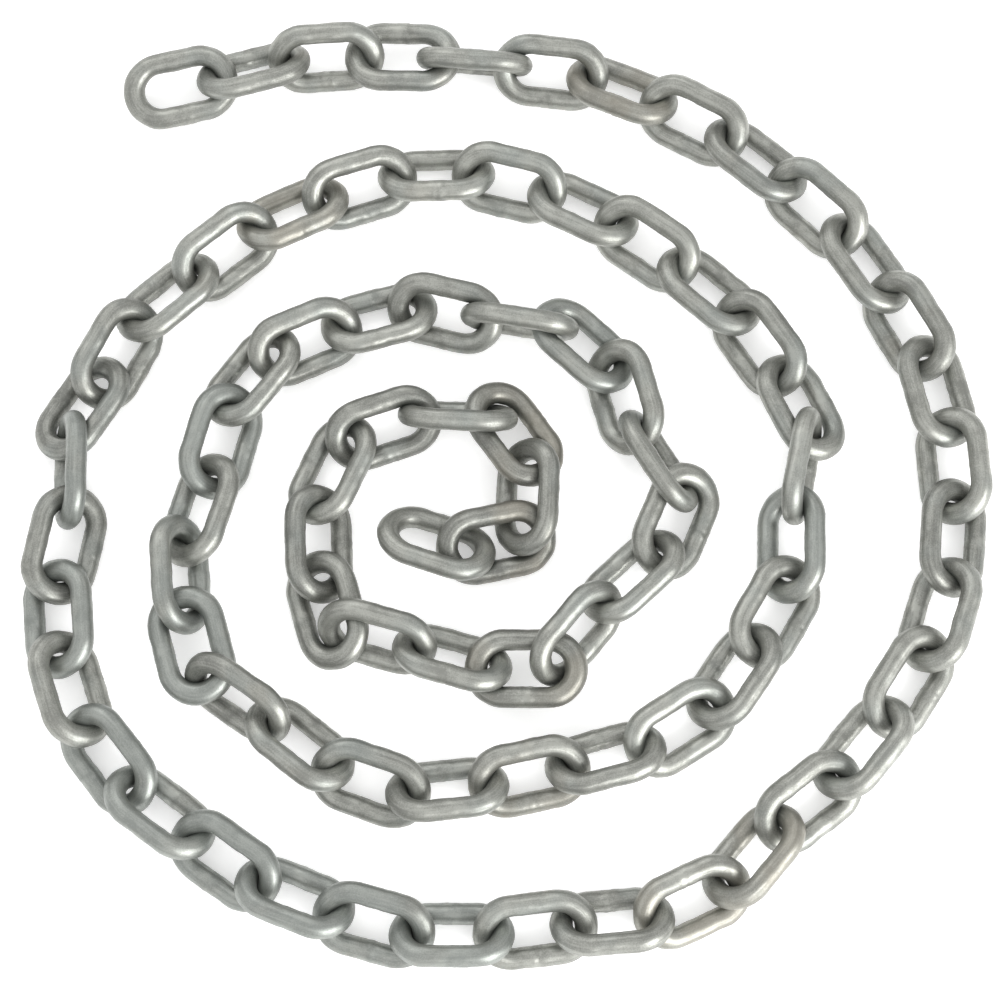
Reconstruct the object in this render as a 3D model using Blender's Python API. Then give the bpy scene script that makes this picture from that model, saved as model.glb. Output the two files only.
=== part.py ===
"""Length of galvanised steel chain, laid out on the floor in a spiral.

Units are metres, +Z is up. The floor is z = 0, and the origin is under the middle of the chain's outline.
Links are numbered from the free outer end of the spiral to its free inner end.
"""

import math

import bmesh
import bpy
import numpy as np
from mathutils import Matrix

MM = 0.001
MERGE = 0.001 * MM

# One link, bent from round wire and welded. Its facets keep the round wire's area.
WIRE = 6.3 * MM
INSIDE_LENGTH = 23.5 * MM
OUTSIDE_WIDTH = 23.1 * MM
CROWN_RADIUS = (OUTSIDE_WIDTH - WIRE) / 2
LEG_LENGTH = INSIDE_LENGTH + WIRE - 2 * CROWN_RADIUS
CROWN_CORNERS = 6
FACETS = 8
FACET = 2 * math.pi / FACETS
FACET_RADIUS = WIRE / 2 * math.sqrt(FACET / math.sin(FACET))
LINKS = 84

# Two neighbours that bear on each other share a solid, and a small gap parts one solid from the next.
# The reach is from the middle of one wire to the middle of the other.
BEARING_REACH = WIRE - 0.7 * MM
LOOSE_REACH = WIRE + 0.5 * MM

# The chain's line on the floor, in millimetres from the middle of the spiral: the number of a joint and
# its place. Joint 0 is the free end of link 1, and joint n is where link n hooks into link n + 1.
ROUTE = [
    (0, -110, 128), (1, -88, 132), (2, -65, 138), (4, -20, 138), (5, 4, 136), (6, 28, 133), (7, 49, 124),
    (8, 70, 113), (9, 88, 98), (10, 105, 82), (11, 118, 62), (12, 129, 42), (13, 134, 20), (15, 133, -25),
    (16, 126, -47), (17, 113, -67), (18, 98, -85), (19, 80, -99), (20, 65, -116), (21, 45, -125),
    (22, 21, -127), (23, -2, -130), (24, -25, -130), (25, -47, -124), (26, -70, -115), (27, -89, -102),
    (28, -107, -88), (29, -121, -70), (30, -129, -49), (31, -131, -26), (32, -127, -6), (33, -129, 19),
    (34, -120, 34), (35, -110, 53), (36, -92, 69), (37, -74, 83), (38, -54, 93), (39, -31, 100),
    (40, -9, 101), (41, 15, 95), (42, 35, 85), (43, 55, 71), (44, 71, 57), (45, 86, 35), (46, 93, 19),
    (47, 87, -4), (48, 86, -27), (49, 75, -46), (50, 62, -64), (51, 43, -76), (52, 20, -82), (53, -3, -87),
    (54, -28, -90), (55, -49, -82), (56, -66, -69), (57, -87, -56), (58, -93, -36), (59, -93, -14),
    (60, -87, 4), (61, -80, 29), (62, -69, 43), (63, -48, 52), (64, -26, 58), (65, -7, 54), (66, 18, 52),
    (67, 34, 39), (68, 40, 20), (69, 55, -1), (70, 49, -16), (71, 30, -34), (72, 16, -53), (73, -2, -53),
    (74, -25, -47), (75, -49, -41), (76, -53, -28), (77, -54, -2), (78, -46, 16), (79, -24, 24),
    (80, -1, 24), (81, 9, 10), (82, 8, -13), (83, -10, -17), (84, -28, -12),
]

# Each link lies rolled about its own length, one leg up, in degrees. Plus is the spiral's outer leg up.
# The stretches alternate from link to link, and turn over where a link stands on edge.
UPPER_ROLL = 44
LOWER_ROLL = -33
TURNOVERS = (5, 33, 47, 57, 66, 69, 72, 75, 80)
ODD_ROLLS = {
    1: 20, 2: -44, 3: 55, 4: -12, 5: 108, 13: -28, 31: -28, 32: 34, 33: 110, 34: -27, 36: -38, 40: -39,
    47: 105, 49: -24, 57: -60, 58: -4, 59: 57, 60: -38, 61: 36, 66: -80, 69: -66, 70: -25, 72: -50, 73: -6,
    75: -55, 76: -27, 80: -65, 81: -24, 82: 48, 83: -28, 84: 42,
}

# Links that ride up on a neighbour slope along their length, in degrees. Plus is the inner end up.
SLOPES = {1: 7, 28: 5, 30: -5, 31: -5, 32: 5, 33: 5, 46: 4, 49: 6, 50: 3, 67: -5, 69: 4}

# Seating of the links on the floor and on each other
CROWN_SAMPLES = 17
LEG_SAMPLES = 7
START_HEIGHT = 9.5 * MM
SEATING_ROUNDS = 400
SINK = 0.05 * MM
PULL_TO_ROUTE = 0.04
PUSH_SHARE = 0.4
TURN_RADIUS = 12.0 * MM


def clear_scene():
    for thing in list(bpy.data.objects):
        bpy.data.objects.remove(thing, do_unlink=True)


def new_collection(name):
    collection = bpy.data.collections.new(name)
    bpy.context.scene.collection.children.link(collection)
    return collection


def zinc_material():
    """Dull hot-dip zinc."""
    material = bpy.data.materials.new("galvanised_zinc")
    material.use_nodes = True
    shader = material.node_tree.nodes["Principled BSDF"]
    shader.inputs["Base Color"].default_value = (0.36, 0.36, 0.34, 1)
    shader.inputs["Metallic"].default_value = 1.0
    shader.inputs["Roughness"].default_value = 0.45
    return material


def crown_points(angles, radius):
    """Points round both crowns of a link, in its own plane, with its length along X."""
    points = []
    for end in (1, -1):
        for angle in angles:
            along = LEG_LENGTH / 2 + radius * math.cos(angle)
            across = radius * math.sin(angle)
            points.append((end * along, end * across))
    return np.array(points)


def link_corners():
    """Corners of the straight runs that a link is built from, each run touching the wire's true middle line."""
    turn = math.pi / CROWN_CORNERS
    angles = [turn * (corner + 0.5) - math.pi / 2 for corner in range(CROWN_CORNERS)]
    return crown_points(angles, CROWN_RADIUS / math.cos(turn / 2))


def link_samples():
    """Points close together along the middle line of a link's wire."""
    crowns = crown_points(np.linspace(-math.pi / 2, math.pi / 2, CROWN_SAMPLES), CROWN_RADIUS)
    legs = np.linspace(-LEG_LENGTH / 2, LEG_LENGTH / 2, LEG_SAMPLES)
    return np.array([*crowns, *((along, side * CROWN_RADIUS) for along in legs for side in (1, -1))])


RING = link_samples()


def joint_places():
    """Where the joints lie on the floor plan, on one smooth curve through the route's points."""
    numbers = np.array([point[0] for point in ROUTE], float)
    places = np.array([point[1:] for point in ROUTE], float) * MM
    slopes = np.gradient(places, numbers, axis=0)
    joints = []
    for number in range(LINKS + 1):
        i = min(np.searchsorted(numbers, number, side="right") - 1, len(numbers) - 2)
        span = numbers[i + 1] - numbers[i]
        t = (number - numbers[i]) / span
        joints.append(
            places[i] * (1 + 2 * t) * (1 - t) ** 2
            + places[i + 1] * t * t * (3 - 2 * t)
            + slopes[i] * span * t * (1 - t) ** 2
            - slopes[i + 1] * span * t * t * (1 - t)
        )
    return np.array(joints)


def roll_of(link):
    """How far a link is rolled about its length, in radians."""
    turned_over = sum(link > turnover for turnover in TURNOVERS) % 2
    outer_leg_up = link % 2 != turned_over
    return math.radians(ODD_ROLLS.get(link, UPPER_ROLL if outer_leg_up else LOWER_ROLL))


def planned_links():
    """Each link's middle, its lengthwise direction and its widthwise one, standing on the floor alone."""
    joints = joint_places()
    middles, alongs, acrosses = [], [], []
    for link in range(1, LINKS + 1):
        start, end = joints[link - 1], joints[link]
        slope = math.radians(SLOPES.get(link, 0))
        heading = Matrix.Rotation(math.atan2(*(end - start)[::-1]), 3, "Z")
        turn = heading @ Matrix.Rotation(-slope, 3, "Y") @ Matrix.Rotation(roll_of(link), 3, "X")
        along, across = np.array(turn.col[0]), np.array(turn.col[1])
        lowest = (RING[:, 0] * along[2] + RING[:, 1] * across[2]).min()
        middles.append((*(start + end) / 2, max(WIRE / 2 - lowest, START_HEIGHT)))
        alongs.append(along)
        acrosses.append(across)
    return np.array(middles), np.array(alongs), np.array(acrosses)


def push(moves, turns, links, middles, points, pushes):
    """Adds each push at its point to the links' moves and turns."""
    np.add.at(moves, links, pushes)
    np.add.at(turns, links, np.cross(points - middles[links], pushes) / TURN_RADIUS**2)


def push_neighbours_apart(wires, middles, moves, turns, step):
    """Pushes links that lie closer than they may, and draws together those that share a solid."""
    gaps = wires[:-step, :, None] - wires[step:, None]
    reaches = np.linalg.norm(gaps, axis=3)
    nearest = reaches.reshape(len(reaches), -1).argmin(axis=1)
    one, other = np.divmod(nearest, wires.shape[1])
    first = np.arange(len(reaches))
    reach = reaches[first, one, other]
    short = np.maximum(LOOSE_REACH - reach, 0)
    if step == 1:
        short = LOOSE_REACH - reach
        short[0::2] = BEARING_REACH - reach[0::2]
    pushes = gaps[first, one, other] / reach[:, None] * (short * PUSH_SHARE)[:, None]
    push(moves, turns, first, middles, wires[first, one], pushes)
    push(moves, turns, first + step, middles, wires[first + step, other], -pushes)


def seat_links(middles, along, across):
    """Lets the links down until they rest on the floor and bear on their neighbours."""
    planned = middles.copy(), along.copy(), across.copy()
    for round_number in range(SEATING_ROUNDS):
        wires = (
            middles[:, None]
            + RING[:, :1] * along[:, None]
            + RING[:, 1:] * across[:, None]
        )
        moves = np.zeros_like(middles)
        turns = np.zeros_like(middles)
        for step in (1, 2):
            push_neighbours_apart(wires, middles, moves, turns, step)
        lowest = wires[:, :, 2].argmin(axis=1)
        links = np.arange(LINKS)
        feet = wires[links, lowest]
        sunk = np.maximum(WIRE / 2 - feet[:, 2], 0)
        push(moves, turns, links, middles, feet, sunk[:, None] * [0, 0, PUSH_SHARE])
        fading = 1 - round_number / SEATING_ROUNDS
        moves[:, 2] -= SINK * fading
        moves[:, :2] += (planned[0] - middles)[:, :2] * PULL_TO_ROUTE * fading
        turns += (np.cross(along, planned[1]) + np.cross(across, planned[2])) * PULL_TO_ROUTE * fading
        middles = middles + moves
        along = along + np.cross(turns, along)
        along /= np.linalg.norm(along, axis=1)[:, None]
        across = across + np.cross(turns, across)
        across -= along * (across * along).sum(axis=1)[:, None]
        across /= np.linalg.norm(across, axis=1)[:, None]
    return middles, along, across


def link_mesh(number, middle, along, across):
    """One link as a closed run of wire, with a flat of its facets turned to the floor."""
    curve = bpy.data.curves.new(f"link_{number:02d}", "CURVE")
    curve.dimensions = "3D"
    curve.twist_mode = "Z_UP"
    curve.bevel_depth = FACET_RADIUS
    curve.bevel_resolution = FACETS // 2 - 2
    corners = link_corners()
    spline = curve.splines.new("POLY")
    spline.points.add(len(corners) - 1)
    spline.use_cyclic_u = True
    roll = math.asin(min(1, abs(across[2])))
    for point, corner in zip(spline.points, corners):
        point.co = (*corner, 0, 1)
        point.tilt = FACET / 2 - roll
    guide = bpy.data.objects.new(curve.name, curve)
    mesh = bpy.data.meshes.new_from_object(guide)
    bpy.data.objects.remove(guide)
    edited = bmesh.new()
    edited.from_mesh(mesh)
    bmesh.ops.remove_doubles(edited, verts=edited.verts, dist=MERGE)
    edited.to_mesh(mesh)
    edited.free()
    place = Matrix((along, across, np.cross(along, across))).transposed().to_4x4()
    place.translation = middle
    mesh.transform(place)
    mesh.shade_smooth()
    return mesh


def stand_on_floor(meshes):
    """Moves all the links so that the origin is under the middle of their box and the lowest is at z = 0."""
    corners = np.array([corner.co for mesh in meshes for corner in mesh.vertices])
    low, high = corners.min(axis=0), corners.max(axis=0)
    shift = Matrix.Translation((-(low[0] + high[0]) / 2, -(low[1] + high[1]) / 2, -low[2]))
    for mesh in meshes:
        mesh.transform(shift)


def add_pair(first, meshes, chain, helpers):
    """Two neighbouring links that bear on each other, as one solid."""
    pair = bpy.data.objects.new(f"links_{first:02d}_{first + 1:02d}", meshes[first - 1])
    chain.objects.link(pair)
    second = bpy.data.objects.new(f"link_{first + 1:02d}", meshes[first])
    second.hide_render = True
    second.display_type = "WIRE"
    helpers.objects.link(second)
    union = pair.modifiers.new("joined_to_neighbour", "BOOLEAN")
    union.operation = "UNION"
    union.solver = "EXACT"
    union.object = second


def main():
    clear_scene()
    chain = new_collection("galvanised_chain")
    helpers = new_collection("helpers")
    zinc = zinc_material()
    seated = seat_links(*planned_links())
    meshes = [link_mesh(link, *pose) for link, pose in enumerate(zip(*seated), start=1)]
    for mesh in meshes:
        mesh.materials.append(zinc)
    stand_on_floor(meshes)
    for first in range(1, LINKS, 2):
        add_pair(first, meshes, chain, helpers)


main()
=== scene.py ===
# %% [markdown]
# A length of galvanised chain, laid on the floor in a spiral
#
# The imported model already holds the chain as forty-two solids, each one a pair of neighbouring links
# with eight-sided wire. This script dresses it: every link gets a smooth round wire with its weld, and
# a dull zinc finish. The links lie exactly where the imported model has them, because the same few rules
# that placed them there are written out again below.

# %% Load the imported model
import math
import random

import bpy
import numpy as np
from mathutils import Matrix, Vector


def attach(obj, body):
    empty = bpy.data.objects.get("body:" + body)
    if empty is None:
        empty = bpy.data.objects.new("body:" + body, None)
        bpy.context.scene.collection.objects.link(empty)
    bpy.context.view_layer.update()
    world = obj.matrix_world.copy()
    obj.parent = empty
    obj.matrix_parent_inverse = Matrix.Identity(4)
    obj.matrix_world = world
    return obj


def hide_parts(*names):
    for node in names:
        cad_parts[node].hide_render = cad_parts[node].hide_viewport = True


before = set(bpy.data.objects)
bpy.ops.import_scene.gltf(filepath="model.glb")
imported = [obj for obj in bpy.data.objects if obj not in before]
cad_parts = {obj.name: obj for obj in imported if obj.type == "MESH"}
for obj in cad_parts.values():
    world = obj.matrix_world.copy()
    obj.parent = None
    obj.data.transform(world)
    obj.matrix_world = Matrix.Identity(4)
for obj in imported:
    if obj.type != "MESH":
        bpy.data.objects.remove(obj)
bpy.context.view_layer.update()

# %% [markdown]
# The size of one link
#
# A welded link is a round wire bent to two half circles, the crowns, joined by two straight legs. Its
# wire thickness, the length of its eye and its outside width say everything about its shape.

# %% Sizes of a link, in metres
MM = 0.001
WIRE = 6.3 * MM
INSIDE_LENGTH = 23.5 * MM
OUTSIDE_WIDTH = 23.1 * MM
CROWN_RADIUS = (OUTSIDE_WIDTH - WIRE) / 2
LEG_LENGTH = INSIDE_LENGTH + WIRE - 2 * CROWN_RADIUS
LINKS = 84
print(f"a leg's straight run is {LEG_LENGTH / MM:.1f} mm")

# %% [markdown]
# How the chain lies
#
# The line of the chain was chosen from the photograph, joint by joint. Between the listed joints
# the line is a smooth curve. Every link lies rolled to one side or the other, because round wire in round
# eyes can't lie flat, and a few links stand on edge where the chain was twisted as it was laid down.

# %% The chain's line and each link's roll
# The chain's line on the floor, in millimetres from the middle of the spiral: the number of a joint and
# its place. Joint 0 is the free end of link 1, and joint n is where link n hooks into link n + 1.
ROUTE = [
    (0, -110, 128), (1, -88, 132), (2, -65, 138), (4, -20, 138), (5, 4, 136), (6, 28, 133), (7, 49, 124),
    (8, 70, 113), (9, 88, 98), (10, 105, 82), (11, 118, 62), (12, 129, 42), (13, 134, 20), (15, 133, -25),
    (16, 126, -47), (17, 113, -67), (18, 98, -85), (19, 80, -99), (20, 65, -116), (21, 45, -125),
    (22, 21, -127), (23, -2, -130), (24, -25, -130), (25, -47, -124), (26, -70, -115), (27, -89, -102),
    (28, -107, -88), (29, -121, -70), (30, -129, -49), (31, -131, -26), (32, -127, -6), (33, -129, 19),
    (34, -120, 34), (35, -110, 53), (36, -92, 69), (37, -74, 83), (38, -54, 93), (39, -31, 100),
    (40, -9, 101), (41, 15, 95), (42, 35, 85), (43, 55, 71), (44, 71, 57), (45, 86, 35), (46, 93, 19),
    (47, 87, -4), (48, 86, -27), (49, 75, -46), (50, 62, -64), (51, 43, -76), (52, 20, -82), (53, -3, -87),
    (54, -28, -90), (55, -49, -82), (56, -66, -69), (57, -87, -56), (58, -93, -36), (59, -93, -14),
    (60, -87, 4), (61, -80, 29), (62, -69, 43), (63, -48, 52), (64, -26, 58), (65, -7, 54), (66, 18, 52),
    (67, 34, 39), (68, 40, 20), (69, 55, -1), (70, 49, -16), (71, 30, -34), (72, 16, -53), (73, -2, -53),
    (74, -25, -47), (75, -49, -41), (76, -53, -28), (77, -54, -2), (78, -46, 16), (79, -24, 24),
    (80, -1, 24), (81, 9, 10), (82, 8, -13), (83, -10, -17), (84, -28, -12),
]

# Each link lies rolled about its own length, one leg up, in degrees. Plus is the spiral's outer leg up.
# The stretches alternate from link to link, and turn over where a link stands on edge.
UPPER_ROLL = 44
LOWER_ROLL = -33
TURNOVERS = (5, 33, 47, 57, 66, 69, 72, 75, 80)
ODD_ROLLS = {
    1: 20, 2: -44, 3: 55, 4: -12, 5: 108, 13: -28, 31: -28, 32: 34, 33: 110, 34: -27, 36: -38, 40: -39,
    47: 105, 49: -24, 57: -60, 58: -4, 59: 57, 60: -38, 61: 36, 66: -80, 69: -66, 70: -25, 72: -50, 73: -6,
    75: -55, 76: -27, 80: -65, 81: -24, 82: 48, 83: -28, 84: 42,
}

# Links that ride up on a neighbour slope along their length, in degrees. Plus is the inner end up.
SLOPES = {1: 7, 28: 5, 30: -5, 31: -5, 32: 5, 33: 5, 46: 4, 49: 6, 50: 3, 67: -5, 69: 4}


def joint_places():
    """Where the joints lie on the floor plan, on one smooth curve through the route's points."""
    numbers = np.array([point[0] for point in ROUTE], float)
    places = np.array([point[1:] for point in ROUTE], float) * MM
    slopes = np.gradient(places, numbers, axis=0)
    joints = []
    for number in range(LINKS + 1):
        i = min(np.searchsorted(numbers, number, side="right") - 1, len(numbers) - 2)
        span = numbers[i + 1] - numbers[i]
        t = (number - numbers[i]) / span
        joints.append(
            places[i] * (1 + 2 * t) * (1 - t) ** 2
            + places[i + 1] * t * t * (3 - 2 * t)
            + slopes[i] * span * t * (1 - t) ** 2
            - slopes[i + 1] * span * t * t * (1 - t)
        )
    return np.array(joints)


def roll_of(link):
    """How far a link is rolled about its length, in radians."""
    turned_over = sum(link > turnover for turnover in TURNOVERS) % 2
    outer_leg_up = link % 2 != turned_over
    return math.radians(ODD_ROLLS.get(link, UPPER_ROLL if outer_leg_up else LOWER_ROLL))


joints = joint_places()
print(f"joints: {len(joints)}, first at {joints[0] / MM}, last at {joints[-1] / MM}")

# %% [markdown]
# Letting the links down
#
# Each link starts on its own, rolled and heading the right way. Then all of them are lowered together in
# small steps: a link that sinks into the floor is lifted, and two that come too close push each other
# apart and turn each other. It is a physics simulation in miniature, and it settles the same way each run.
# Neighbours one and two, three and four and so on bear on each other, and the rest keep a hair's gap.

# %% Reaches between wires, and the pace of the lowering
BEARING_REACH = WIRE - 0.7 * MM
LOOSE_REACH = WIRE + 0.5 * MM
CROWN_SAMPLES = 17
LEG_SAMPLES = 7
START_HEIGHT = 9.5 * MM
SEATING_ROUNDS = 400
SINK = 0.05 * MM
PULL_TO_ROUTE = 0.04
PUSH_SHARE = 0.4
TURN_RADIUS = 12.0 * MM


# %% Points along a link's wire
def crown_points(angles, radius):
    """Points round both crowns of a link, in its own plane, with its length along X."""
    points = []
    for end in (1, -1):
        for angle in angles:
            along = LEG_LENGTH / 2 + radius * math.cos(angle)
            across = radius * math.sin(angle)
            points.append((end * along, end * across))
    return np.array(points)


def link_samples(on_crown, on_leg):
    """Points close together along the middle line of a link's wire."""
    crowns = crown_points(np.linspace(-math.pi / 2, math.pi / 2, on_crown), CROWN_RADIUS)
    legs = np.linspace(-LEG_LENGTH / 2, LEG_LENGTH / 2, on_leg)
    return np.array([*crowns, *((along, side * CROWN_RADIUS) for along in legs for side in (1, -1))])


RING = link_samples(CROWN_SAMPLES, LEG_SAMPLES)
print(f"{len(RING)} points stand for a link's wire")


# %% Links before and after the lowering
def planned_links():
    """Each link's middle, its lengthwise direction and its widthwise one, standing on the floor alone."""
    joints = joint_places()
    middles, alongs, acrosses = [], [], []
    for link in range(1, LINKS + 1):
        start, end = joints[link - 1], joints[link]
        slope = math.radians(SLOPES.get(link, 0))
        ahead_x, ahead_y = end - start
        heading = Matrix.Rotation(math.atan2(ahead_y, ahead_x), 3, "Z")
        turn = heading @ Matrix.Rotation(-slope, 3, "Y") @ Matrix.Rotation(roll_of(link), 3, "X")
        along, across = np.array(turn.col[0]), np.array(turn.col[1])
        lowest = (RING[:, 0] * along[2] + RING[:, 1] * across[2]).min()
        middles.append((*(start + end) / 2, max(WIRE / 2 - lowest, START_HEIGHT)))
        alongs.append(along)
        acrosses.append(across)
    return np.array(middles), np.array(alongs), np.array(acrosses)


def push(moves, turns, links, middles, points, pushes):
    """Adds each push at its point to the links' moves and turns."""
    np.add.at(moves, links, pushes)
    np.add.at(turns, links, np.cross(points - middles[links], pushes) / TURN_RADIUS**2)


def push_neighbours_apart(wires, middles, moves, turns, step):
    """Pushes links that lie closer than they may, and draws together those that share a solid."""
    gaps = wires[:-step, :, None] - wires[step:, None]
    reaches = np.linalg.norm(gaps, axis=3)
    nearest = reaches.reshape(len(reaches), -1).argmin(axis=1)
    one, other = np.divmod(nearest, wires.shape[1])
    first = np.arange(len(reaches))
    reach = reaches[first, one, other]
    short = np.maximum(LOOSE_REACH - reach, 0)
    if step == 1:
        short = LOOSE_REACH - reach
        short[0::2] = BEARING_REACH - reach[0::2]
    pushes = gaps[first, one, other] / reach[:, None] * (short * PUSH_SHARE)[:, None]
    push(moves, turns, first, middles, wires[first, one], pushes)
    push(moves, turns, first + step, middles, wires[first + step, other], -pushes)


def seat_links(middles, along, across):
    """Lets the links down until they rest on the floor and bear on their neighbours."""
    planned = middles.copy(), along.copy(), across.copy()
    for round_number in range(SEATING_ROUNDS):
        wires = (
            middles[:, None]
            + RING[:, :1] * along[:, None]
            + RING[:, 1:] * across[:, None]
        )
        moves = np.zeros_like(middles)
        turns = np.zeros_like(middles)
        for step in (1, 2):
            push_neighbours_apart(wires, middles, moves, turns, step)
        lowest = wires[:, :, 2].argmin(axis=1)
        links = np.arange(LINKS)
        feet = wires[links, lowest]
        sunk = np.maximum(WIRE / 2 - feet[:, 2], 0)
        push(moves, turns, links, middles, feet, sunk[:, None] * [0, 0, PUSH_SHARE])
        fading = 1 - round_number / SEATING_ROUNDS
        moves[:, 2] -= SINK * fading
        moves[:, :2] += (planned[0] - middles)[:, :2] * PULL_TO_ROUTE * fading
        turns += (np.cross(along, planned[1]) + np.cross(across, planned[2])) * PULL_TO_ROUTE * fading
        middles = middles + moves
        along = along + np.cross(turns, along)
        along /= np.linalg.norm(along, axis=1)[:, None]
        across = across + np.cross(turns, across)
        across -= along * (across * along).sum(axis=1)[:, None]
        across /= np.linalg.norm(across, axis=1)[:, None]
    return middles, along, across


middles, alongs, acrosses = seat_links(*planned_links())
print(f"highest link middle {middles[:, 2].max() / MM:.1f} mm")

# %% [markdown]
# One smooth link
#
# A link could be swept along a closed curve, but then its weld would have to be cut in afterwards. Here
# it is modelled as by hand: a torus is cut in half to leave one crown, and the two open ends of the crown
# are extruded step by step to the middle of the link, where one leg swells a little at its butt weld. A
# mirror gives the other half, and the weld ends up exactly at the middle of its leg.

# %% Rings round the wire, and where the legs have theirs
CROWN_RINGS = 24
WIRE_SIDES = 24
LEG_STATIONS = (5.4, 4.4, 3.6, 2.9, 2.3, 1.8, 1.4, 1.0, 0.6, 0.2, 0.0)
WELD_SWELL = {2.3: 1.005, 1.8: 1.015, 1.4: 1.025, 1.0: 1.025, 0.6: 1.015, 0.2: 1.01, 0.0: 1.01}
TOUCH = 0.01 * MM


def select_where(mesh_object, wanted):
    """Selects the vertices whose place answers to wanted, and nothing else."""
    bpy.ops.mesh.select_all(action="DESELECT")
    bpy.ops.object.mode_set(mode="OBJECT")
    for vertex in mesh_object.data.vertices:
        vertex.select = wanted(vertex.co)
    bpy.ops.object.mode_set(mode="EDIT")


# %% A crown, from half a torus
bpy.ops.object.select_all(action="DESELECT")
bpy.ops.mesh.primitive_torus_add(
    major_radius=CROWN_RADIUS,
    minor_radius=WIRE / 2,
    major_segments=2 * CROWN_RINGS,
    minor_segments=WIRE_SIDES,
    location=(LEG_LENGTH / 2, 0, 0),
)
link = bpy.context.object
link.name = "model_link"
bpy.ops.object.transform_apply(location=True, rotation=False, scale=False)
bpy.ops.object.mode_set(mode="EDIT")
bpy.ops.mesh.select_mode(type="VERT")
bpy.ops.mesh.select_all(action="SELECT")
bpy.ops.mesh.bisect(
    plane_co=(LEG_LENGTH / 2, 0, 0), plane_no=(1, 0, 0), clear_inner=True, threshold=TOUCH
)
print(f"the crown's middle line is bent to a radius of {CROWN_RADIUS / MM:.1f} mm")

# %% The legs, out to the middle of the link
reached = LEG_LENGTH / 2
for station in LEG_STATIONS:
    select_where(link, lambda place: abs(place.x - reached) < TOUCH)
    bpy.ops.mesh.extrude_region_move(
        TRANSFORM_OT_translate={"value": (station * MM - reached, 0, 0)}
    )
    reached = station * MM
print(f"each leg is extruded in {len(LEG_STATIONS)} steps")

# %% The butt weld, a low collar on one leg
for station, swell in WELD_SWELL.items():
    select_where(link, lambda place: abs(place.x - station * MM) < TOUCH and place.y < 0)
    bpy.ops.transform.resize(value=(1, swell, swell), center_override=(0, -CROWN_RADIUS, 0))
bpy.ops.object.mode_set(mode="OBJECT")
print(f"the weld is {(max(WELD_SWELL.values()) - 1) * WIRE / MM:.2f} mm thicker than the wire")

# %% The other half, by a mirror
mirror = link.modifiers.new("other_half", "MIRROR")
mirror.use_axis = (True, False, False)
mirror.merge_threshold = TOUCH
bpy.ops.object.modifier_apply(modifier=mirror.name)
bpy.ops.object.mode_set(mode="EDIT")
bpy.ops.mesh.select_all(action="SELECT")
bpy.ops.mesh.remove_doubles(threshold=TOUCH)
bpy.ops.mesh.normals_make_consistent(inside=False)
bpy.ops.object.mode_set(mode="OBJECT")
bpy.ops.object.shade_smooth()
print(f"the whole link has {len(link.data.vertices)} vertices")

# %% The inside of the crowns, where the bent wire bulges
CROWN_BULGE = 0.4 * MM


def bulge_share(place):
    """One on the inside of a crown's middle, and nothing on the outside and on the legs."""
    past_leg = abs(place.x) - LEG_LENGTH / 2
    if past_leg <= 0:
        return 0
    reach = math.hypot(past_leg, place.y)
    inward = (CROWN_RADIUS - reach) / (WIRE / 2)
    return max(inward, 0) * past_leg / reach


crown_insides = link.vertex_groups.new(name="crown_insides")
for vertex in link.data.vertices:
    crown_insides.add([vertex.index], bulge_share(vertex.co), "REPLACE")
bulge = link.modifiers.new("bent_wire", "DISPLACE")
bulge.mid_level = 0
bulge.strength = CROWN_BULGE
bulge.vertex_group = crown_insides.name
bpy.ops.object.modifier_apply(modifier=bulge.name)
link.vertex_groups.clear()
print(f"one link: {len(link.data.polygons)} faces, {[round(side / MM, 2) for side in link.dimensions]} mm")

# %% [markdown]
# Coordinates that follow the wire
#
# Zinc runs and drawing marks lie along a wire, also round its bends. So every vertex notes how far along
# the wire it is, and where it lies round it. The material reads this note for its streaks. The count starts
# at the weld, so the jump from the last millimetre to the first falls there, and the streaks fade out on it.

# %% Each vertex's place along and round the wire
RING_LENGTH = 2 * (LEG_LENGTH + math.pi * CROWN_RADIUS)


def vertex_places(mesh_object):
    """The places of an object's vertices, a row each."""
    return np.array([vertex.co for vertex in mesh_object.data.vertices])


def place_on_wire(place):
    """How far a point is along the wire from the weld, and its two offsets from the wire's middle line."""
    past_leg = abs(place.x) - LEG_LENGTH / 2
    if past_leg <= 0:
        outward = abs(place.y) - CROWN_RADIUS
        along = place.x % RING_LENGTH if place.y < 0 else RING_LENGTH / 2 - place.x
        return along, outward, place.z
    outward = math.hypot(past_leg, place.y) - CROWN_RADIUS
    angle = math.atan2(place.y, past_leg)
    along = LEG_LENGTH / 2 + CROWN_RADIUS * (angle + math.pi / 2)
    return (along if place.x > 0 else RING_LENGTH - along), outward, place.z


link_places = vertex_places(link)
wire_places = np.array([place_on_wire(Vector(place)) for place in link_places])
print(f"wire places run from {wire_places[:, 0].min() / MM:.1f} to {wire_places[:, 0].max() / MM:.1f} mm")

# %% [markdown]
# The zinc
#
# Hot-dip zinc on chain is dull and a little uneven: lighter and darker clouds a few millimetres across,
# faint streaks along the wire, a fine grain, and here and there a brownish stain. It is a metal, so most of
# its look comes from how rough it is. Colour, roughness and bump are all mixed from a few noises. Where
# links touch, the colour is darkened, partly as real grime and partly as painted shade between the links.

# %% Small helpers for a node tree
def new_node(tree, kind, **settings):
    """Adds a node. Names that are sockets set the socket, and the rest set the node's own property."""
    node = tree.nodes.new(kind)
    for name, value in settings.items():
        socket = name.replace("_", " ").title()
        if socket in node.inputs:
            node.inputs[socket].default_value = value
        else:
            setattr(node, name, value)
    return node


def noise(tree, vector, scale, detail=3.0, roughness=0.55):
    """A noise whose features are about one over scale metres across."""
    node = new_node(tree, "ShaderNodeTexNoise", scale=scale, detail=detail, roughness=roughness)
    tree.links.new(vector, node.inputs["Vector"])
    return node.outputs["Fac"]


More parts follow.
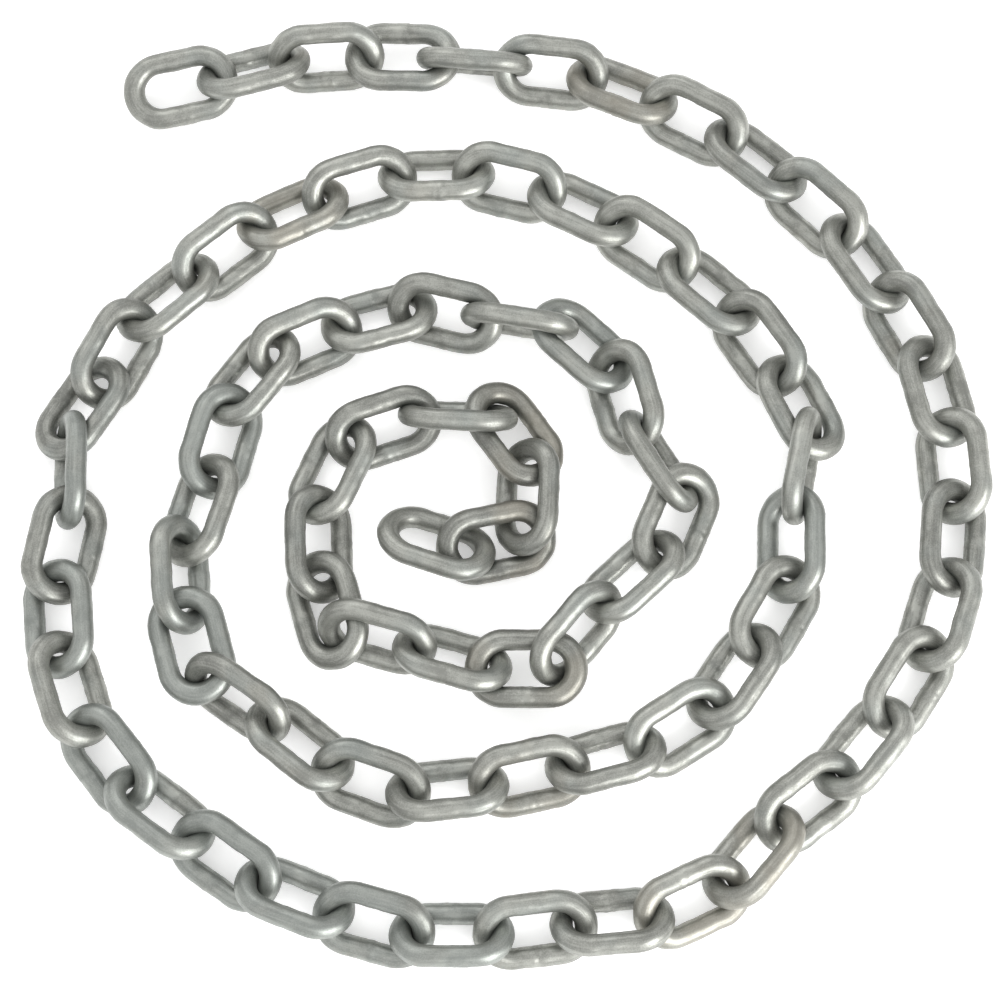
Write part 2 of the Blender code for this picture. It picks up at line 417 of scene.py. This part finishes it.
def stretch(tree, value, low, high, new_low, new_high):
    """Maps a value from one range to another, clamped."""
    node = new_node(
        tree, "ShaderNodeMapRange", from_min=low, from_max=high, to_min=new_low, to_max=new_high
    )
    tree.links.new(value, node.inputs["Value"])
    return node.outputs["Result"]


def blend_colours(tree, factor, first, second):
    """Mixes two colours by a factor. Each is a colour or a socket."""
    node = new_node(tree, "ShaderNodeMix", data_type="RGBA")
    tree.links.new(factor, node.inputs["Factor"])
    for colour, socket in ((first, node.inputs["A"]), (second, node.inputs["B"])):
        if isinstance(colour, tuple):
            socket.default_value = colour
        else:
            tree.links.new(colour, socket)
    return node.outputs["Result"]


# %% Mixing two values
def average(tree, first, second, share):
    """Mixes two values, with this share of the second. Each of the three is a number or a socket."""
    node = new_node(tree, "ShaderNodeMix", data_type="FLOAT")
    for value, name in ((first, "A"), (second, "B"), (share, "Factor")):
        if isinstance(value, float):
            node.inputs[name].default_value = value
        else:
            tree.links.new(value, node.inputs[name])
    return node.outputs["Result"]


# %% Colours of the zinc and of what lies on it
ZINC_DARK = (0.18, 0.183, 0.168, 1)
ZINC_LIGHT = (0.41, 0.416, 0.382, 1)
BLUISH = (0.26, 0.29, 0.28, 1)
STAIN = (0.31, 0.285, 0.235, 1)
# The dark colour where links touch: partly grime, partly painted shade between the links.
GRIME_AND_SHADE = (0.07, 0.082, 0.07, 1)

# %% The noises: how many features fit in a metre, and how ragged they are
CLOUDS = {"scale": 210, "detail": 4}
STREAKS = {"scale": 800, "detail": 4, "roughness": 0.7}
STREAK_STRETCH = 0.06
GRAIN = {"scale": 2400, "detail": 3, "roughness": 0.7}
TINTS = {"scale": 60, "detail": 2}
STAINS = {"scale": 42, "detail": 3}

# %% Shares in the mixes. A spread is where a noise begins and ends to count, and how strongly
STREAK_SHARE = 0.62
GRAIN_SHARE = 0.3
LINK_TONE_SHARE = 0.35
LINK_TINT_SHARE = 0.35
LINK_STAIN_SHARE = 0.3
GRIME_AND_SHADE_CLOUD_SHARE = 0.3
MARKS = (0.42, 0.58)
TINT_SPREAD = (0.5, 0.66, 0, 0.4)
STAIN_SPREAD = (0.4, 0.28, 0, 0.45)
GRIME_AND_SHADE_SPREAD = (0.35, 0.85, 0, 0.8)

# %% Gloss and relief of the zinc
METALLIC = 0.85
DULL_ROUGHNESS = 0.52
BRIGHT_ROUGHNESS = 0.36
GRIMY_ROUGHNESS = 0.65
STREAK_HEIGHT = 0.12 * MM
GRAIN_HEIGHT = 0.03 * MM
BUMP_STRENGTH = 0.5


# %% The zinc's marks and colour
def note(tree, name, output):
    """What the vertices note under this name."""
    return new_node(tree, "ShaderNodeAttribute", attribute_name=name).outputs[output]


def zinc_noises(tree, place):
    """Clouds, streaks along the wire that fade out on the weld, and a fine grain."""
    grooves = new_node(tree, "ShaderNodeMapping")
    grooves.inputs["Scale"].default_value = (STREAK_STRETCH, 1, 1)
    tree.links.new(note(tree, "along_wire", "Vector"), grooves.inputs["Vector"])
    clouds = noise(tree, place, **CLOUDS)
    streaks = noise(tree, grooves.outputs["Vector"], **STREAKS)
    streaks = average(tree, streaks, clouds, note(tree, "weld_share", "Fac"))
    return clouds, streaks, noise(tree, place, **GRAIN)


def zinc_colour(tree, place, marks, grime_and_shade):
    """Light and dark marks in the link's own tone, with bluish tints, brownish stains, and grime with painted
    shade where links touch.
    """
    tone = stretch(tree, marks, *MARKS, 0, 1)
    tone = average(tree, tone, note(tree, "link_tone", "Fac"), LINK_TONE_SHARE)
    colour = blend_colours(tree, tone, ZINC_DARK, ZINC_LIGHT)
    link_tint = note(tree, "link_tint", "Fac")
    tints = average(tree, noise(tree, place, **TINTS), link_tint, LINK_TINT_SHARE)
    colour = blend_colours(tree, stretch(tree, tints, *TINT_SPREAD), colour, BLUISH)
    stains = average(tree, noise(tree, place, **STAINS), link_tint, LINK_STAIN_SHARE)
    colour = blend_colours(tree, stretch(tree, stains, *STAIN_SPREAD), colour, STAIN)
    return blend_colours(tree, grime_and_shade, colour, GRIME_AND_SHADE)


def bump(tree, height, distance, below=None):
    """Relief from a value, on top of another relief where there is one."""
    node = new_node(tree, "ShaderNodeBump", strength=BUMP_STRENGTH, distance=distance)
    tree.links.new(height, node.inputs["Height"])
    if below:
        tree.links.new(below, node.inputs["Normal"])
    return node.outputs["Normal"]


# %% The zinc material
def zinc():
    """Dull hot-dip zinc on drawn and welded wire."""
    material = bpy.data.materials.new("galvanised_zinc_finish")
    material.use_nodes = True
    tree = material.node_tree
    shader = tree.nodes["Principled BSDF"]
    place = note(tree, "link_place", "Vector")
    clouds, streaks, grain = zinc_noises(tree, place)
    relief = average(tree, clouds, streaks, STREAK_SHARE)
    marks = average(tree, relief, grain, GRAIN_SHARE)
    # Near a neighbour's wire the zinc is darker and rougher: grime, and in the colour also painted shade
    # between links.
    grime_and_shade = average(tree, note(tree, "touch_share", "Fac"), clouds, GRIME_AND_SHADE_CLOUD_SHARE)
    grime_and_shade = stretch(tree, grime_and_shade, *GRIME_AND_SHADE_SPREAD)
    sheen = stretch(tree, marks, *MARKS, DULL_ROUGHNESS, BRIGHT_ROUGHNESS)
    shader.inputs["Metallic"].default_value = METALLIC
    tree.links.new(zinc_colour(tree, place, marks, grime_and_shade), shader.inputs["Base Color"])
    tree.links.new(average(tree, sheen, GRIMY_ROUGHNESS, grime_and_shade), shader.inputs["Roughness"])
    streaks_relief = bump(tree, relief, STREAK_HEIGHT)
    tree.links.new(bump(tree, grain, GRAIN_HEIGHT, streaks_relief), shader.inputs["Normal"])
    return material


zinc_finish = zinc()
print(f"{zinc_finish.name}: {len(zinc_finish.node_tree.nodes)} nodes")

# %% [markdown]
# Eighty-four links
#
# The modelled link is copied once for each place. A copy gets its own mesh, which is moved and turned to
# its place, so that its object stays at the origin. The photograph shows a weld on only a few links, so the
# others have a faint one, on the lower leg. Where two links bear on each other the zinc is worn and grimy,
# and its colour is darkened there as painted shade too, so each vertex also notes how near it is to a
# neighbour.
# Every copy starts its counts at another number, so no two links look the same.

# %% Where each link goes
places = []
for middle, along, across in zip(middles, alongs, acrosses):
    place = Matrix((along, across, np.cross(along, across))).transposed().to_4x4()
    place.translation = middle
    places.append(place)

spread = np.array([link_places @ np.array(place)[:3, :3].T + np.array(place)[:3, 3] for place in places])
low = spread.reshape(-1, 3).min(axis=0)
high = spread.reshape(-1, 3).max(axis=0)
to_part = Vector((-(low[0] + high[0]) / 2, -(low[1] + high[1]) / 2, -low[2]))
print(f"from the route's frame to the part's: {[round(side / MM, 2) for side in to_part]} mm")

# %% Lumps in the zinc and in the weld
# For each kind of lump: how wide it is, how high, and the vertex group that it is held to, if any.
LUMPS = {"zinc_lumps": (4.5 * MM, 0.45 * MM, ""), "weld_lumps": (1.5 * MM, 0.45 * MM, "weld")}
WELD_REACH = 3.0 * MM

weld_ring = np.minimum(wire_places[:, 0], RING_LENGTH - wire_places[:, 0])
weld_share = np.clip(1 - weld_ring / WELD_REACH, 0, 1)
for name, (size, _, _) in LUMPS.items():
    bpy.data.textures.new(name, "CLOUDS").noise_scale = size
print(f"{np.count_nonzero(weld_share)} of {len(weld_share)} vertices are near the weld")


def add_lumps(piece, weld_strength):
    """Makes the zinc a little uneven and the weld a little rough, each by a displacement."""
    weld = piece.vertex_groups.new(name="weld")
    for vertex in np.flatnonzero(weld_share):
        weld.add([int(vertex)], float(weld_share[vertex] * weld_strength), "REPLACE")
    bpy.context.view_layer.objects.active = piece
    for name, (_, height, group) in LUMPS.items():
        lumps = piece.modifiers.new(name, "DISPLACE")
        lumps.texture = bpy.data.textures[name]
        lumps.texture_coords = "LOCAL"
        lumps.strength = height
        lumps.vertex_group = group
        bpy.ops.object.modifier_apply(modifier=lumps.name)


# %% How near each vertex is to a neighbour's wire
GRIME_AND_SHADE_REACH = 2.5 * MM
FINE_CROWN_SAMPLES = 41
FINE_LEG_SAMPLES = 21
NEAR_NUMBERS = (-2, -1, 1, 2)
fine_ring = link_samples(FINE_CROWN_SAMPLES, FINE_LEG_SAMPLES)
middle_lines = (
    middles[:, None]
    + fine_ring[:, :1] * alongs[:, None]
    + fine_ring[:, 1:] * acrosses[:, None]
    + np.array(to_part)
)


def touch_shares(vertices, number):
    """One where a vertex touches a neighbouring link's wire, down to nothing at the reach of the grime and
    painted shade.
    """
    nearest = np.full(len(vertices), np.inf)
    for other in (number + step for step in NEAR_NUMBERS):
        if 1 <= other <= LINKS:
            reaches = np.linalg.norm(vertices[:, None] - middle_lines[other - 1], axis=2)
            nearest = np.minimum(nearest, reaches.min(axis=1))
    return np.clip(1 - (nearest - WIRE / 2) / GRIME_AND_SHADE_REACH, 0, 1)


# %% What the photograph shows of single links
# Links by number: those with their weld on the upper leg, those whose weld shows clearly, and those that
# are duller, brighter, bluer or browner than the rest.
WELDS_UP = (7, 21, 38, 40, 74)
CLEAR_WELDS = (*WELDS_UP, 47, 70)
FAINT_WELD = 0.3
DULL_LINKS = (15, 32, 33, 34, 73, 77, 79, 81, 83)
BRIGHT_LINKS = (40, 41, 42, 43, 47, 51, 66, 71)
BLUISH_LINKS = (24, 25, 26, 27, 28, 29, 31, 33, 48, 58, 59, 61, 67)
BROWNISH_LINKS = (7, 20, 21, 38, 53, 73, 81, 83)
MIDDLING = 0.5
TONE_STEP = 0.4
TONE_JITTER = 0.5
TINT_STEP = 0.5
print(f"{len(CLEAR_WELDS)} welds are clear, the other {LINKS - len(CLEAR_WELDS)} are faint")


# %% The links
def add_notes(piece, name, kind, field, values):
    """Stores one note for each vertex of a piece."""
    notes = piece.data.attributes.new(name, kind, "POINT")
    notes.data.foreach_set(field, np.asarray(values, float).ravel())


COUNT_STEP = 1.7 * RING_LENGTH
TONE_SEED = 7
random.seed(TONE_SEED)
for number, place in enumerate(places, start=1):
    copy = bpy.data.objects.new(f"link_{number:02d}", link.data.copy())
    bpy.context.scene.collection.objects.link(copy)
    front_leg_up = acrosses[number - 1][2] > 0
    turned = front_leg_up == (number in WELDS_UP)
    half_turn = Matrix.Rotation(math.pi * turned, 4, "Z")
    copy.data.transform(Matrix.Translation(to_part) @ place @ half_turn)
    vertices = vertex_places(copy)
    add_lumps(copy, 1 if number in CLEAR_WELDS else FAINT_WELD)
    own_tone = MIDDLING + TONE_JITTER * (random.random() - MIDDLING)
    own_tone += TONE_STEP * ((number in BRIGHT_LINKS) - (number in DULL_LINKS))
    own_tint = MIDDLING + TINT_STEP * ((number in BLUISH_LINKS) - (number in BROWNISH_LINKS))
    wire_count = (number * COUNT_STEP, 0, 0)
    every = np.ones(len(vertices))
    add_notes(copy, "along_wire", "FLOAT_VECTOR", "vector", wire_places + wire_count)
    add_notes(copy, "link_place", "FLOAT_VECTOR", "vector", link_places + wire_count)
    add_notes(copy, "weld_share", "FLOAT", "value", weld_share)
    # touch_share darkens the colour where links touch: grime and painted shade.
    add_notes(copy, "touch_share", "FLOAT", "value", touch_shares(vertices, number))
    add_notes(copy, "link_tone", "FLOAT", "value", every * own_tone)
    add_notes(copy, "link_tint", "FLOAT", "value", every * own_tint)
    copy.data.materials.clear()
    copy.data.materials.append(zinc_finish)
    first_of_pair = number - 1 + number % 2
    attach(copy, "root")
    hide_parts(f"links_{first_of_pair:02d}_{first_of_pair + 1:02d}")
bpy.data.objects.remove(link)
print("links placed:", len(places))

# %% [markdown]
# The floor, the light and the camera
#
# The chain was photographed from a little off straight above, on white, with a broad light low on the near
# right. A pale floor, a soft sky and one large lamp on that side give the same bright bands on the crowns.

# %% A plain pale floor
FLOOR_SIZE = 6
FLOOR_WHITE = (0.93, 0.93, 0.93, 1)
FLOOR_ROUGHNESS = 0.9
FLOOR_GLOW = 0.36
WHITE = (1, 1, 1, 1)
bpy.ops.object.select_all(action="DESELECT")
bpy.ops.mesh.primitive_plane_add(size=FLOOR_SIZE)
floor = bpy.context.object
floor.name = "floor"
paper = bpy.data.materials.new("pale_floor")
paper.use_nodes = True
paper_shader = paper.node_tree.nodes["Principled BSDF"]
paper_shader.inputs["Base Color"].default_value = FLOOR_WHITE
paper_shader.inputs["Roughness"].default_value = FLOOR_ROUGHNESS
paper_shader.inputs["Emission Color"].default_value = WHITE
paper_shader.inputs["Emission Strength"].default_value = FLOOR_GLOW
floor.data.materials.append(paper)
print(f"{floor.name}: {FLOOR_SIZE} m square")

# %% A soft sky, brighter overhead and a little brighter on the left
LOW_SKY = 0.05
HIGH_SKY = 0.4
OVERHEAD = 1.08
HORIZON = 0.56
LEFT_SHARE = 1.14
RIGHT_SHARE = 0.86
world = bpy.data.worlds.new("soft_room")
bpy.context.scene.world = world
world.use_nodes = True
sky = world.node_tree
direction = new_node(sky, "ShaderNodeTexCoord").outputs["Generated"]
parts = new_node(sky, "ShaderNodeSeparateXYZ")
sky.links.new(direction, parts.inputs["Vector"])
background = sky.nodes["Background"]
background.inputs["Color"].default_value = WHITE
brightness = new_node(sky, "ShaderNodeMath", operation="MULTIPLY")
by_height = stretch(sky, parts.outputs["Z"], LOW_SKY, HIGH_SKY, HORIZON, OVERHEAD)
by_side = stretch(sky, parts.outputs["X"], -1, 1, LEFT_SHARE, RIGHT_SHARE)
sky.links.new(by_height, brightness.inputs[0])
sky.links.new(by_side, brightness.inputs[1])
sky.links.new(brightness.outputs["Value"], background.inputs["Strength"])
print(f"{world.name}: from {HORIZON} at the horizon to {OVERHEAD} overhead")


# %% Two lamps
def soft_lamp(name, towards, distance, size, power):
    """A flat lamp that shines on the middle of the chain, from an azimuth and a height in degrees."""
    azimuth, height = (math.radians(angle) for angle in towards)
    lamp = bpy.data.lights.new(name, "AREA")
    lamp.shape = "RECTANGLE"
    lamp.size, lamp.size_y = size
    lamp.energy = power
    holder = bpy.data.objects.new(name, lamp)
    bpy.context.scene.collection.objects.link(holder)
    direction = Vector((
        math.cos(height) * math.sin(azimuth), -math.cos(height) * math.cos(azimuth), math.sin(height)
    ))
    holder.location = direction * distance
    holder.rotation_euler = direction.to_track_quat("Z", "Y").to_euler()
    return holder


LAMP_DISTANCE = 1.3
soft_lamp("near_right_lamp", towards=(43, 24.5), distance=LAMP_DISTANCE, size=(1.0, 0.9), power=17)
soft_lamp("far_left_lamp", towards=(200, 42), distance=LAMP_DISTANCE, size=(1.2, 0.9), power=2.8)

# %% The camera
CAMERA_TILT = math.radians(14)
CAMERA_DISTANCE = 781 * MM
PICTURE_WIDTH = 1000
FOCAL_PIXELS = 2600
camera = bpy.data.objects.new("camera", bpy.data.cameras.new("camera"))
bpy.context.scene.collection.objects.link(camera)
camera.data.lens = camera.data.sensor_width * FOCAL_PIXELS / PICTURE_WIDTH
back = Vector((0, -math.sin(CAMERA_TILT), math.cos(CAMERA_TILT)))
camera.location = Vector((to_part.x, to_part.y, 0)) + back * CAMERA_DISTANCE
camera.rotation_euler = (CAMERA_TILT, 0, 0)
bpy.context.scene.camera = camera
bpy.context.scene.view_settings.view_transform = "Standard"
print(f"camera: {CAMERA_DISTANCE / MM:.0f} mm away, a lens of {camera.data.lens:.1f} mm")
